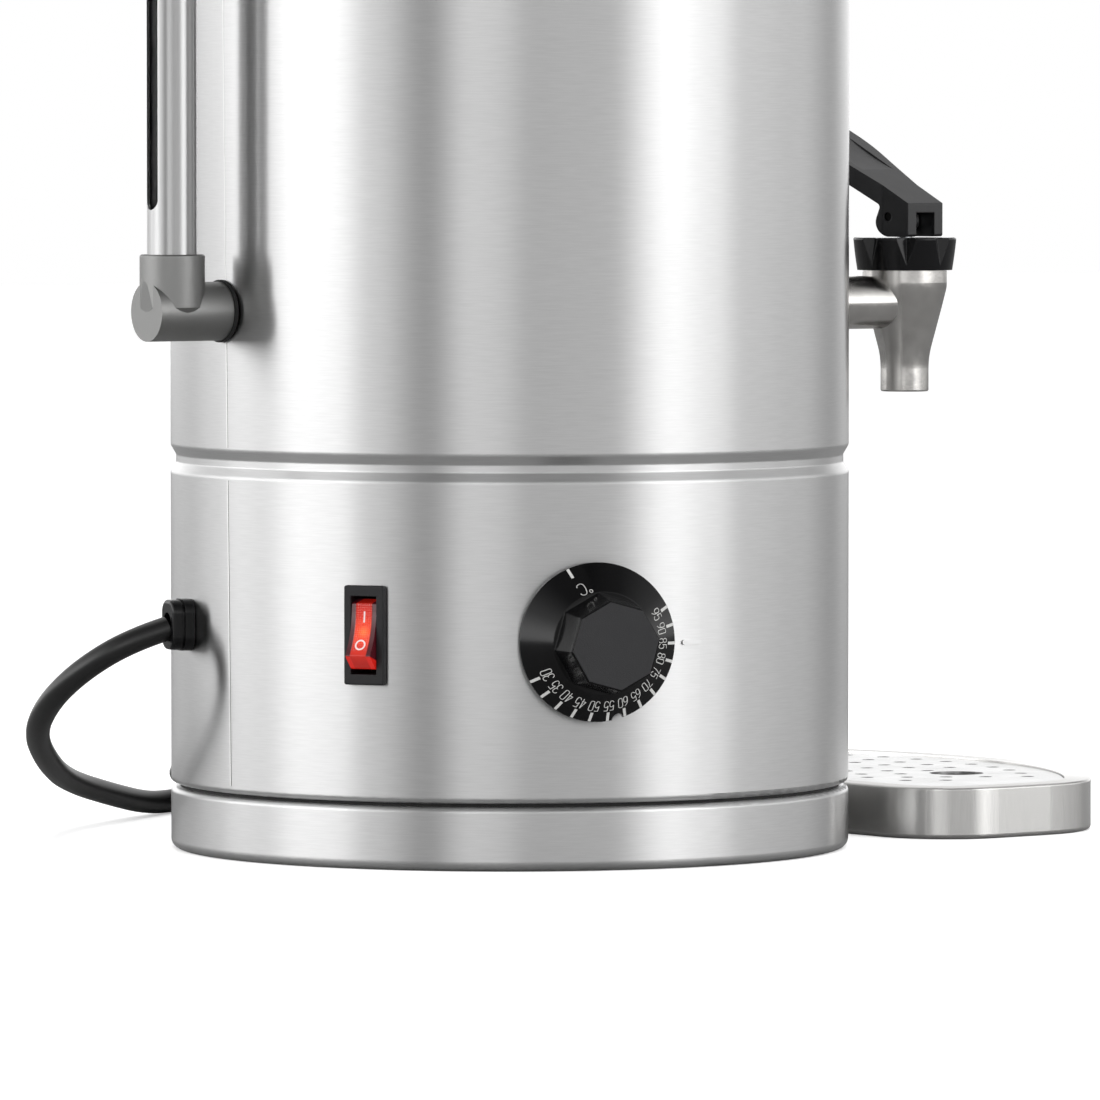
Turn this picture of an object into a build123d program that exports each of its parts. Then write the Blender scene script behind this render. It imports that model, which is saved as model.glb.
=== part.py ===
"""Hot water urn: a single-wall stainless boiler on a base ring, with a gauge, a tap and a drip tray.

Millimetres, +Z up. The origin is on the urn's axis, on the surface it stands on. The tap points
along +X, and angles round the urn are counted anticlockwise from it, seen from above.
"""

import os
from math import atan2, cos, radians, sin, sqrt, tan

from build123d import *

os.makedirs("parts", exist_ok=True)

# Driving dimensions: the shell and its base
BODY_R = 112.5
SHEET = 1.0
RING_TOP = 20.6
SHELL_BOTTOM = 21.8
SHELL_TOP = 430.0
GROOVE_Z = 129.3
GROOVE_DEPTH = 1.8
GROOVE_HALF = 4.35
GROOVE_FLAT = 1.25
RIM_R = 2.6
FLOOR_Z = 134.5
PLATE_Z = 7.0
FOOT_R = 92.0

# Where things stand round the urn, in degrees, and how high
GAUGE_ANGLE = 180.0
KNOB_ANGLE = -110.0
SWITCH_ANGLE = -147.95
GLAND_ANGLE = 167.0
HANDLE_ANGLES = {"front": -90.0, "rear": 90.0}
KNOB_Z = 74.05
SWITCH_Z = 75.7
GLAND_Z = 75.8
STEM_Z = 179.0
HANDLE_Z = 345.0

# Water gauge
GAUGE_R = 131.5
GAUGE_TOP_Z = 392.0
GUARD_R = 8.2
GLASS_R = 5.0
SOCKET_R = 10.6
BRANCH_R = 9.6
SOCKET_RISE = 18.6
GASKET_H = 1.2
END_REACH = 9.8

# Tap
TAP_X = 162.1
TAP_BODY_TOP = 189.6
OUTLET_Z = 148.5
BONNET_TOP = 201.0
SPLIT_Z = 168.5
SEAT_Z = 171.0
PIN_Z = 208.1
LEVER_ANGLE = 108.5
LEVER_RISE = 30.0
LEVER_LENGTH = 55.0

# Thermostat knob
DIAL_R = 25.6
DIAL_BACK = 116.5
GRIP_BASE = 126.5
GRIP_TOP = 142.5
GRIP_BASE_R = 16.3
GRIP_TOP_R = 14.5
GRIP_TURN = 7.0
STOP_NOTCH_ANGLE = -75.0

# Drip tray, in its own axes: u outwards from the urn, w along its length
TRAY_ANGLE = 4.0
TRAY_OFFSET = 44.0
TRAY_NEAR = 120.5
TRAY_FAR = 242.0
TRAY_HALF = 120.5
TRAY_H = 17.4
TRAY_OUTER_R = 161.0
TRAY_CORNER_R = 40.0
TRAY_TIP_R = 28.0
TRAY_RIM = 9.0

# Mains lead
CORD_D = 8.0
COIL_MIDDLE_R = 44.0
COIL_CENTRE = (50.4, 185.6)
COIL_HEIGHT = 15.6


def save(piece, name):
    """Label a finished piece and write it as one STEP file."""
    piece.part.label = name
    export_step(piece.part, f"parts/{name}.step")


def wall_plane(angle, radius, height):
    """A plane facing outwards at a place round the urn, with its y upwards."""
    a = radians(angle)
    return Plane(
        origin=(radius * cos(a), radius * sin(a), height),
        x_dir=(-sin(a), cos(a), 0),
        z_dir=(cos(a), sin(a), 0),
    )


def radial_plane(angle, radius, height):
    """An upright plane through the axis, with x outwards and y upwards."""
    a = radians(angle)
    return Plane(
        origin=(radius * cos(a), radius * sin(a), height),
        x_dir=(cos(a), sin(a), 0),
        z_dir=(sin(a), -cos(a), 0),
    )


def outward(angle):
    """The level axis that points away from the urn at an angle round it."""
    return Axis((0, 0, 0), (cos(radians(angle)), sin(radians(angle)), 0))


def ring_of(points, radii=0):
    """A closed profile of radius and height, with rounded corners, drawn in the open sketch."""
    with BuildLine(mode=Mode.PRIVATE) as edge:
        FilletPolyline(*points, radius=radii, close=True)
    make_face(edge.edges())


# ---------------------------------------------------------------- base ring, plate and feet
with BuildPart() as base_ring:
    with BuildSketch(Plane.XZ):
        ring_of(
            [(98, 0), (BODY_R, 0), (BODY_R, RING_TOP), (100, RING_TOP),
             (100, RING_TOP - SHEET), (BODY_R - SHEET, RING_TOP - SHEET),
             (BODY_R - SHEET, SHEET), (98, SHEET)],
            [0, 3.2, 1.8, 0, 0, 0.8, 2.2, 0],
        )
    revolve(axis=Axis.Z)
save(base_ring, "base_ring")

with BuildPart() as base_seal:
    with BuildSketch(Plane.XY.offset(RING_TOP)):
        Circle(109.4)
        Circle(101.5, mode=Mode.SUBTRACT)
    extrude(amount=SHELL_BOTTOM - RING_TOP)
save(base_seal, "base_seal")

with BuildPart() as base_plate:
    with BuildSketch(Plane.XY.offset(PLATE_Z)):
        Circle(BODY_R - SHEET - 0.4)
        with PolarLocations(60, 12, start_angle=15):
            SlotOverall(26, 4, mode=Mode.SUBTRACT)
        with PolarLocations(30, 8):
            SlotOverall(14, 3, mode=Mode.SUBTRACT)
        with PolarLocations(FOOT_R, 4, start_angle=45):
            Circle(2.2, mode=Mode.SUBTRACT)
    extrude(amount=SHEET)
save(base_plate, "base_plate")

with BuildPart() as rubber_feet:
    with PolarLocations(FOOT_R, 4, start_angle=45):
        with Locations((0, 0, PLATE_Z / 2)):
            Cylinder(5.8, PLATE_Z)
        with Locations((0, 0, 1.5)):
            Cylinder(3.9, 3, mode=Mode.SUBTRACT)
        with Locations((0, 0, PLATE_Z / 2)):
            Cylinder(2.2, PLATE_Z, mode=Mode.SUBTRACT)
save(rubber_feet, "rubber_feet")

with BuildPart() as base_screws:
    with PolarLocations(FOOT_R, 4, start_angle=45):
        with Locations((0, 0, 2.0)):
            Cylinder(3.6, 2.0)
        with Locations((0, 0, 12.5)):
            Cylinder(2.0, 19.0)
save(base_screws, "base_screws")

with BuildPart() as base_brackets:
    for foot_angle in (45, 135, 225, 315):
        with BuildSketch(radial_plane(foot_angle, 0, 0)):
            ring_of(
                [(82, PLATE_Z + SHEET), (97.5, PLATE_Z + SHEET), (97.5, 27), (111.3, 27),
                 (111.3, 48), (109.8, 48), (109.8, 28.5), (96, 28.5), (96, 9.5), (82, 9.5)],
            )
        extrude(amount=7, both=True)
    with PolarLocations(FOOT_R, 4, start_angle=45):
        Cylinder(2.05, 60, mode=Mode.SUBTRACT)
    with BuildSketch(Plane.XY.offset(20)):
        Circle(130)
        Circle(BODY_R - SHEET - 0.15, mode=Mode.SUBTRACT)
    extrude(amount=60, mode=Mode.SUBTRACT)
save(base_brackets, "base_brackets")

# ---------------------------------------------------------------- shell, boiler floor, lid
inner_r = BODY_R - SHEET
groove_r = BODY_R - GROOVE_DEPTH
groove_inner_r = groove_r - SHEET
groove_low, groove_high = GROOVE_Z - GROOVE_HALF, GROOVE_Z + GROOVE_HALF
flat_low, flat_high = GROOVE_Z - GROOVE_FLAT, GROOVE_Z + GROOVE_FLAT

with BuildPart() as outer_shell:
    with BuildSketch(Plane.XZ):
        ring_of(
            [(102, SHELL_BOTTOM), (BODY_R, SHELL_BOTTOM), (BODY_R, groove_low),
             (groove_r, flat_low), (groove_r, flat_high), (BODY_R, groove_high),
             (BODY_R, SHELL_TOP), (inner_r, SHELL_TOP), (inner_r, groove_high),
             (groove_inner_r, flat_high), (groove_inner_r, flat_low), (inner_r, groove_low),
             (inner_r, SHELL_BOTTOM + SHEET), (102, SHELL_BOTTOM + SHEET)],
            [0, 2.0, 2.2, 1.2, 1.2, 2.2, 0, 0, 1.4, 0.9, 0.9, 1.4, 1.0, 0],
        )
    revolve(axis=Axis.Z)
    # rolled bead round the mouth
    with BuildSketch(Plane.XZ):
        with Locations((BODY_R + 1.3, SHELL_TOP - RIM_R + 0.4)):
            Circle(RIM_R)
    revolve(axis=Axis.Z)
    # tap, gauge, thermostat, switch and cable openings
    with BuildSketch(wall_plane(0, 90, STEM_Z)):
        Circle(8.2)
    extrude(amount=40, mode=Mode.SUBTRACT)
    for gauge_z in (STEM_Z, GAUGE_TOP_Z):
        with BuildSketch(wall_plane(GAUGE_ANGLE, 90, gauge_z)):
            Circle(6.2)
        extrude(amount=40, mode=Mode.SUBTRACT)
    with BuildSketch(wall_plane(KNOB_ANGLE, 90, KNOB_Z)):
        Circle(5.2)
    extrude(amount=40, mode=Mode.SUBTRACT)
    with BuildSketch(wall_plane(SWITCH_ANGLE, 90, SWITCH_Z)):
        Rectangle(12.4, 29.4)
    extrude(amount=40, mode=Mode.SUBTRACT)
    with BuildSketch(wall_plane(GLAND_ANGLE, 90, GLAND_Z)):
        RectangleRounded(9.8, 12.8, 3)
    extrude(amount=40, mode=Mode.SUBTRACT)
    # pressed dash that the dial is read against
    with BuildSketch(wall_plane(KNOB_ANGLE + 17.5, BODY_R - 0.6, KNOB_Z - 1.0)):
        SlotOverall(7.2, 1.5)
    extrude(amount=1.2)
save(outer_shell, "outer_shell")

with BuildPart() as boiler_floor:
    with BuildSketch(Plane.XZ):
        ring_of(
            [(0, FLOOR_Z), (inner_r - 0.05, FLOOR_Z), (inner_r - 0.05, FLOOR_Z + 9),
             (inner_r - 1.05, FLOOR_Z + 9), (inner_r - 1.05, FLOOR_Z + SHEET), (0, FLOOR_Z + SHEET)],
            [0, 2.2, 0, 0, 1.2, 0],
        )
    revolve(axis=Axis.Z)
save(boiler_floor, "boiler_floor")

with BuildPart() as lid:
    with BuildSketch(Plane.XZ):
        with BuildLine():
            Polyline((0, 446), (16, 446))
            ThreePointArc((16, 446), (66, 443.4), (104, 434.6))
            Polyline((104, 434.6), (114.6, 432.4), (117.4, 431.6), (117.4, 430.5), (109.0, 430.5))
            Polyline((109.0, 430.5), (107.5, 432.6), (103.7, 433.6))
            ThreePointArc((103.7, 433.6), (66, 442.4), (16, 445))
            Polyline((16, 445), (0, 445), (0, 446))
        make_face()
    revolve(axis=Axis.Z)
    with Locations((0, 0, 445.5)):
        Cylinder(2.2, 4, mode=Mode.SUBTRACT)
    with Locations((70, 0, 440)):
        Cylinder(2.5, 20, mode=Mode.SUBTRACT)
save(lid, "lid")

# rolled ring inside the lid that keeps it centred in the mouth
with BuildPart() as lid_skirt:
    with BuildSketch(Plane.XY.offset(418)):
        Circle(110.2)
        Circle(109.2, mode=Mode.SUBTRACT)
    extrude(amount=12.5)
save(lid_skirt, "lid_skirt")

with BuildPart() as lid_knob:
    with BuildSketch(Plane.XZ):
        ring_of(
            [(0, 446), (13, 446), (10.5, 452), (12, 458), (20, 462), (21.2, 468.5), (14, 473), (0, 474)],
            [0, 0.6, 4, 4, 2.5, 4, 14, 0],
        )
    revolve(axis=Axis.Z)
    with Locations((0, 0, 452)):
        Cylinder(2.05, 12.4, mode=Mode.SUBTRACT)
save(lid_knob, "lid_knob")

with BuildPart() as lid_screw:
    with Locations((0, 0, 443.4)):
        Cylinder(5, 3.2)
    with Locations((0, 0, 451)):
        Cylinder(2.0, 13)
save(lid_screw, "lid_screw")

# ---------------------------------------------------------------- side handles
POST_X = 41.0
GRIP_STANDOFF = 38.0
for side, handle_angle in HANDLE_ANGLES.items():
    face = wall_plane(handle_angle, BODY_R - 12, HANDLE_Z)
    grip_axis = wall_plane(handle_angle, BODY_R + GRIP_STANDOFF, HANDLE_Z)
    with BuildPart() as handle:
        with BuildSketch(face):
            with Locations((-POST_X, 0), (POST_X, 0)):
                Ellipse(8, 10)
        extrude(amount=12 + GRIP_STANDOFF)
        bar_start = Plane(
            origin=grip_axis.from_local_coords((-50, 0, 0)), x_dir=(0, 0, 1), z_dir=grip_axis.x_dir)
        with BuildSketch(bar_start):
            Ellipse(11, 9)
        extrude(amount=100)
        fillet(handle.edges().filter_by(GeomType.ELLIPSE).group_by(
            lambda e: abs(grip_axis.to_local_coords(e.center()).X))[-1], 5)
        with BuildSketch(Plane.XY.offset(HANDLE_Z - 20)):
            Circle(BODY_R + 0.05)
        extrude(amount=40, mode=Mode.SUBTRACT)
        with BuildSketch(face):
            with Locations((-POST_X, 0), (POST_X, 0)):
                Circle(2.55)
        extrude(amount=30, mode=Mode.SUBTRACT)
    save(handle, f"handle_{side}")

with BuildPart() as handle_studs:
    for handle_angle in HANDLE_ANGLES.values():
        with BuildSketch(wall_plane(handle_angle, BODY_R - 12, HANDLE_Z)):
            with Locations((-POST_X, 0), (POST_X, 0)):
                Circle(2.5)
        extrude(amount=28)
    with BuildSketch(Plane.XY.offset(HANDLE_Z - 20)):
        Circle(BODY_R + 0.02)
    extrude(amount=40, mode=Mode.SUBTRACT)
save(handle_studs, "handle_studs")

# ---------------------------------------------------------------- water gauge
def gauge_elbow(name, elbow_z, up):
    """One cast elbow: a branch from the wall and a socket towards the other elbow."""
    level = wall_plane(GAUGE_ANGLE, BODY_R + GASKET_H, elbow_z)
    socket_base = Plane(origin=(-GAUGE_R, 0, elbow_z), z_dir=(0, 0, up))
    with BuildPart() as elbow:
        with BuildSketch(level):
            Circle(BRANCH_R)
        extrude(amount=GAUGE_R + END_REACH - BODY_R - GASKET_H)
        with BuildSketch(socket_base.offset(-0.5)):
            Circle(BRANCH_R - 0.2)
        with BuildSketch(socket_base.offset(1.5)):
            Circle(SOCKET_R)
        loft()
        with BuildSketch(socket_base.offset(1.5)):
            Circle(SOCKET_R)
        extrude(amount=SOCKET_RISE - 1.5)
        # the flat end face leans out into the socket's round side
        with BuildSketch(Plane.XZ):
            with BuildLine():
                face_x = -GAUGE_R - END_REACH
                Polyline((face_x, elbow_z - up * 12), (face_x, elbow_z), (face_x - 0.8, elbow_z + up * 10),
                         (face_x - 6, elbow_z + up * 10), (face_x - 6, elbow_z - up * 12), close=True)
            make_face()
        extrude(amount=12, both=True, mode=Mode.SUBTRACT)
        fillet(elbow.edges().group_by(Axis.Z)[-1 if up > 0 else 0], 0.8)
        # threaded stub through the wall
        with BuildSketch(wall_plane(GAUGE_ANGLE, BODY_R - 12, elbow_z)):
            Circle(6.0)
        extrude(amount=15)
        # waterway, glass seat and guard seat
        with BuildSketch(socket_base):
            Circle(3.6)
        extrude(amount=5, mode=Mode.SUBTRACT)
        with BuildSketch(socket_base.offset(4)):
            Circle(GLASS_R + 0.1)
        extrude(amount=SOCKET_RISE, mode=Mode.SUBTRACT)
        with BuildSketch(socket_base.offset(10)):
            Circle(GUARD_R + 0.1)
        extrude(amount=SOCKET_RISE, mode=Mode.SUBTRACT)
        with BuildSketch(wall_plane(GAUGE_ANGLE, BODY_R - 13, elbow_z)):
            Circle(3.6)
        extrude(amount=13 + GAUGE_R - BODY_R, mode=Mode.SUBTRACT)
    save(elbow, name)


gauge_elbow("gauge_elbow_lower", STEM_Z, 1)
gauge_elbow("gauge_elbow_upper", GAUGE_TOP_Z, -1)

with BuildPart() as gauge_guard:
    with BuildSketch(Plane(origin=(-GAUGE_R, 0, STEM_Z + 10))):
        Circle(GUARD_R)
        Circle(GUARD_R - 0.9, mode=Mode.SUBTRACT)
    extrude(amount=GAUGE_TOP_Z - STEM_Z - 20)
    with BuildSketch(wall_plane(GAUGE_ANGLE, GAUGE_R, (STEM_Z + GAUGE_TOP_Z) / 2)):
        SlotOverall(GAUGE_TOP_Z - STEM_Z - 66, 6.6, rotation=90)
    extrude(amount=12, mode=Mode.SUBTRACT)
save(gauge_guard, "gauge_guard")

with BuildPart() as gauge_glass:
    with BuildSketch(Plane(origin=(-GAUGE_R, 0, STEM_Z + 4))):
        Circle(GLASS_R)
        Circle(GLASS_R - 1.2, mode=Mode.SUBTRACT)
    extrude(amount=GAUGE_TOP_Z - STEM_Z - 8)
save(gauge_glass, "gauge_glass")

with BuildPart() as gauge_gaskets:
    for gauge_z in (STEM_Z, GAUGE_TOP_Z):
        with BuildSketch(wall_plane(GAUGE_ANGLE, BODY_R, gauge_z)):
            Circle(10.2)
            Circle(6.1, mode=Mode.SUBTRACT)
        extrude(amount=GASKET_H)
save(gauge_gaskets, "gauge_gaskets")

with BuildPart() as gauge_nuts:
    for gauge_z in (STEM_Z, GAUGE_TOP_Z):
        with BuildSketch(wall_plane(GAUGE_ANGLE, BODY_R - 5.6, gauge_z)):
            RegularPolygon(9.5, 6)
            Circle(6.05, mode=Mode.SUBTRACT)
        extrude(amount=3.6)
save(gauge_nuts, "gauge_nuts")

# ---------------------------------------------------------------- tap
tap_axis = Plane(origin=(TAP_X, 0, 0))
with BuildPart() as tap_casting:
    with BuildSketch(Plane.XZ):
        ring_of(
            [(TAP_X, OUTLET_Z), (TAP_X + 8.2, OUTLET_Z), (TAP_X + 8.2, 160.3),
             (TAP_X + 12.7, 177.4), (TAP_X + 14.4, 184.2), (TAP_X + 14.4, TAP_BODY_TOP),
             (TAP_X + 14.1, TAP_BODY_TOP), (TAP_X + 14.1, 195.6), (TAP_X, 195.6)],
            [0, 0.6, 30, 0, 12, 0, 0, 0.6, 0],
        )
    revolve(axis=Axis((TAP_X, 0, 0), (0, 0, 1)))
    with BuildSketch(wall_plane(0, BODY_R - 12, STEM_Z)):
        Circle(8.0)
    extrude(amount=TAP_X - BODY_R + 12)
    with BuildSketch(wall_plane(0, BODY_R + 2, STEM_Z)):
        Circle(9.0)
    extrude(amount=TAP_X - BODY_R - 2)
    with BuildSketch(wall_plane(0, BODY_R + 2, STEM_Z)):
        Circle(13.0)
    extrude(amount=3.2)
    # waterway from the boiler, chamber, seat and outlet
    with BuildSketch(wall_plane(0, BODY_R - 13, STEM_Z)):
        Circle(4.8)
    extrude(amount=TAP_X - BODY_R + 13, mode=Mode.SUBTRACT)
    with BuildSketch(tap_axis.offset(SEAT_Z)):
        Circle(10.6)
    extrude(amount=30, mode=Mode.SUBTRACT)
    with BuildSketch(tap_axis.offset(OUTLET_Z - 1)):
        Circle(6.6)
    extrude(amount=30, mode=Mode.SUBTRACT)

# the casting's tapering outlet is its own piece, below the branch
with BuildSketch(tap_axis.offset(OUTLET_Z)) as outlet_zone:
    Circle(13)
with BuildPart() as tap_body:
    add(tap_casting.part)
    extrude(outlet_zone.sketch, amount=SPLIT_Z - OUTLET_Z, mode=Mode.SUBTRACT)
save(tap_body, "tap_body")

with BuildPart() as tap_outlet:
    extrude(outlet_zone.sketch, amount=SPLIT_Z - OUTLET_Z)
    add(tap_casting.part, mode=Mode.INTERSECT)
save(tap_outlet, "tap_outlet")

with BuildPart() as tap_gasket:
    with BuildSketch(wall_plane(0, BODY_R, STEM_Z)):
        Circle(12.4)
        Circle(8.1, mode=Mode.SUBTRACT)
    extrude(amount=2.0)
save(tap_gasket, "tap_gasket")

with BuildPart() as tap_nut:
    with BuildSketch(wall_plane(0, BODY_R - 7.2, STEM_Z)):
        RegularPolygon(13, 6)
        Circle(8.05, mode=Mode.SUBTRACT)
    extrude(amount=4.6)
save(tap_nut, "tap_nut")

with BuildPart() as tap_bonnet:
    with BuildSketch(tap_axis.offset(TAP_BODY_TOP + 0.3)):
        Circle(16.2)
    with BuildSketch(tap_axis.offset(BONNET_TOP)):
        Circle(17.85)
    loft()
    fillet(tap_bonnet.edges().group_by(Axis.Z)[-1], 0.7)
    # fluted grip: V-shaped notches, widest at the top
    for flute in range(8):
        flute_angle = radians(-124.0 + 45 * flute)
        top_plane = Plane(
            origin=(TAP_X + 18.6 * cos(flute_angle), 18.6 * sin(flute_angle), BONNET_TOP + 0.1),
            x_dir=(-sin(flute_angle), cos(flute_angle), 0), z_dir=(0, 0, 1))
        foot_plane = Plane(
            origin=(TAP_X + 17.2 * cos(flute_angle), 17.2 * sin(flute_angle), TAP_BODY_TOP + 1.8),
            x_dir=(-sin(flute_angle), cos(flute_angle), 0), z_dir=(0, 0, 1))
        with BuildSketch(top_plane):
            Triangle(a=10.4, b=6.4, c=6.4, align=(Align.CENTER, Align.MIN))
        with BuildSketch(foot_plane):
            Triangle(a=1.7, b=1.1, c=1.1, align=(Align.CENTER, Align.MIN))
        loft(mode=Mode.SUBTRACT)
    with BuildSketch(tap_axis.offset(TAP_BODY_TOP)):
        Circle(14.2)
    extrude(amount=6.2, mode=Mode.SUBTRACT)
    with BuildSketch(tap_axis.offset(TAP_BODY_TOP)):
        Circle(3.1)
    extrude(amount=20, mode=Mode.SUBTRACT)
save(tap_bonnet, "tap_bonnet")

with BuildPart() as tap_seat_cup:
    with BuildSketch(Plane.XZ):
        with BuildLine():
            Polyline((TAP_X + 2.55, SEAT_Z + 4), (TAP_X + 2.55, SEAT_Z + 9), (TAP_X + 4.5, SEAT_Z + 9))
            ThreePointArc(
                (TAP_X + 4.5, SEAT_Z + 9), (TAP_X + 8.2, SEAT_Z + 6), (TAP_X + 9.6, SEAT_Z + 0.1))
            Polyline((TAP_X + 9.6, SEAT_Z + 0.1), (TAP_X, SEAT_Z + 0.1),
                     (TAP_X, SEAT_Z + 4), (TAP_X + 2.55, SEAT_Z + 4))
        make_face()
    revolve(axis=Axis((TAP_X, 0, 0), (0, 0, 1)))
save(tap_seat_cup, "tap_seat_cup")

lever_dir = Vector(cos(radians(LEVER_ANGLE)), sin(radians(LEVER_ANGLE)), 0)
pin_dir = Vector(-lever_dir.Y, lever_dir.X, 0)
with BuildPart() as tap_stem:
    with BuildSketch(tap_axis.offset(SEAT_Z + 4.1)):
        Circle(2.5)
    extrude(amount=PIN_Z - SEAT_Z - 7)
    # flat head with the hinge pin's hole
    with BuildSketch(Plane(origin=(TAP_X, 0, PIN_Z), x_dir=lever_dir, z_dir=-pin_dir)):
        with Locations((0, -1.4)):
            SlotOverall(6.6, 5.2, rotation=90)
    extrude(amount=4.7, both=True)
    with BuildSketch(Plane(origin=(TAP_X, 0, PIN_Z), x_dir=lever_dir, z_dir=-pin_dir)):
        Circle(1.5)
    extrude(amount=6, both=True, mode=Mode.SUBTRACT)
save(tap_stem, "tap_stem")

SPRING_R = 5.4
WIRE_R = 0.55
with BuildPart() as tap_spring:
    with BuildLine():
        Helix(pitch=2.35, height=14.3, radius=SPRING_R, center=(TAP_X, 0, SEAT_Z + 9.7))
    with BuildSketch(Plane(origin=(TAP_X + SPRING_R, 0, SEAT_Z + 9.7), z_dir=(0, 1, 0.07))):
        Circle(WIRE_R)
    sweep(is_frenet=True)
save(tap_spring, "tap_spring")

# lever: x along the arm, y up, at the pin
lever_side = Plane(origin=(TAP_X, 0, PIN_Z), x_dir=lever_dir, z_dir=-pin_dir)
BLOCK_BACK, BLOCK_FRONT, BLOCK_FOOT, BLOCK_HEAD = -8.6, 6.5, -6.8, 4.55
ARM_UNDER = 1.9
rise = radians(LEVER_RISE)
arm_top = BLOCK_HEAD * cos(rise) - BLOCK_BACK * sin(rise)


def along_arm(distance, height):
    """A point on the lever's side view, measured along the rising arm and square to it."""
    return (distance * cos(rise) - height * sin(rise), distance * sin(rise) + height * cos(rise))


with BuildPart() as tap_lever:
    with BuildSketch(lever_side):
        with BuildLine():
            FilletPolyline(
                (BLOCK_BACK, BLOCK_HEAD), (BLOCK_BACK, BLOCK_FOOT), (BLOCK_FRONT, BLOCK_FOOT),
                (2.9, ARM_UNDER / cos(rise) + 2.9 * tan(rise)), along_arm(LEVER_LENGTH, 3.4),
                along_arm(LEVER_LENGTH, arm_top), radius=[0.5, 0.9, 5.0, 1.5, 1.2, 1.2], close=True)
        make_face()
    extrude(amount=20, both=True)
    # plan shape: a straight neck that flares to the paddle
    with BuildSketch(Plane(origin=(TAP_X, 0, 180), x_dir=lever_dir, z_dir=(0, 0, 1))):
        with BuildLine():
            FilletPolyline(
                (-9, -10.1), (2, -10.1), (12, -12.6), (26, -16.4), (46, -14), (46, 14),
                (26, 16.4), (12, 12.6), (2, 10.1), (-9, 10.1),
                radius=[0, 5, 12, 30, 9, 9, 30, 12, 5, 0], close=True)
        make_face()
    extrude(amount=80, mode=Mode.INTERSECT)
    # thumb hollow on the arm, slot for the stem's head, pin hole
    with BuildSketch(lever_side):
        with Locations(along_arm(29, arm_top + 139.55)):
            Circle(140)
    extrude(amount=9, both=True, mode=Mode.SUBTRACT)
    with BuildSketch(lever_side):
        with Locations((-6.6, -3.9)):
            Rectangle(7.2, 10.6)
        with Locations((0, -3.4)):
            Rectangle(6.8, 11.6)
    extrude(amount=5.4, both=True, mode=Mode.SUBTRACT)
    with BuildSketch(lever_side):
        Circle(1.55)
    extrude(amount=15, both=True, mode=Mode.SUBTRACT)
save(tap_lever, "tap_lever")

with BuildPart() as lever_pin:
    with BuildSketch(lever_side):
        Circle(1.5)
    extrude(amount=9.6, both=True)
save(lever_pin, "lever_pin")

# ---------------------------------------------------------------- thermostat and its knob
knob_plane = wall_plane(KNOB_ANGLE, 0, KNOB_Z)
with BuildPart() as knob:
    with BuildSketch(knob_plane.offset(DIAL_BACK)):
        Circle(DIAL_R)
    extrude(amount=1.6)
    with BuildSketch(knob_plane.offset(DIAL_BACK + 1.6)):
        Circle(DIAL_R)
    with BuildSketch(knob_plane.offset(GRIP_BASE)):
        Circle(GRIP_BASE_R + 0.3)
    loft()
    with BuildSketch(knob_plane.offset(GRIP_BASE)):
        RegularPolygon(GRIP_BASE_R, 8, rotation=GRIP_TURN)
    with BuildSketch(knob_plane.offset(GRIP_TOP - 1.2)):
        RegularPolygon(GRIP_TOP_R + 0.2, 8, rotation=GRIP_TURN)
    loft()
    with BuildSketch(knob_plane.offset(GRIP_TOP - 1.2)):
        RegularPolygon(GRIP_TOP_R - 0.2, 8, rotation=GRIP_TURN)
    extrude(amount=0.6)
    # hollow back, shaft socket and the stop's notch in the rim
    with BuildSketch(knob_plane.offset(DIAL_BACK - 0.1)):
        Circle(12)
        Circle(5, mode=Mode.SUBTRACT)
    extrude(amount=7, mode=Mode.SUBTRACT)
    with BuildSketch(knob_plane.offset(DIAL_BACK - 0.1)):
        Circle(12)
    extrude(amount=1.6, mode=Mode.SUBTRACT)
    with BuildSketch(knob_plane.offset(DIAL_BACK - 0.1)):
        Circle(3.0)
    extrude(amount=12, mode=Mode.SUBTRACT)
    stop = radians(STOP_NOTCH_ANGLE)
    with BuildSketch(knob_plane.offset(DIAL_BACK - 0.1)):
        with Locations((DIAL_R * cos(stop), DIAL_R * sin(stop))):
            Circle(1.9)
    extrude(amount=5, mode=Mode.SUBTRACT)
save(knob, "knob")

with BuildPart() as knob_cap:
    with BuildSketch(knob_plane.offset(GRIP_TOP - 0.6)):
        RegularPolygon(GRIP_TOP_R - 0.4, 8, rotation=GRIP_TURN)
    extrude(amount=0.6)
save(knob_cap, "knob_cap")

with BuildPart() as thermostat_shaft:
    with BuildSketch(knob_plane.offset(84)):
        Circle(2.95)
    extrude(amount=DIAL_BACK + 11 - 84)
save(thermostat_shaft, "thermostat_shaft")

with BuildPart() as thermostat_body:
    with BuildSketch(knob_plane.offset(78)):
        RectangleRounded(38, 38, 4)
    extrude(amount=26)
    with BuildSketch(knob_plane.offset(104)):
        Circle(4.9)
    extrude(amount=11.2)
    with BuildSketch(knob_plane.offset(83)):
        Circle(3.02)
    extrude(amount=40, mode=Mode.SUBTRACT)
    # blade terminals at the back
    with BuildSketch(knob_plane.offset(70)):
        with Locations((-10, 6), (10, 6)):
            Rectangle(6.3, 0.8)
    extrude(amount=8)
save(thermostat_body, "thermostat_body")

with BuildPart() as thermostat_nut:
    with BuildSketch(knob_plane.offset(BODY_R + 0.05)):
        RegularPolygon(7.6, 6)
        Circle(4.95, mode=Mode.SUBTRACT)
    extrude(amount=2.4)
save(thermostat_nut, "thermostat_nut")

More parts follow.
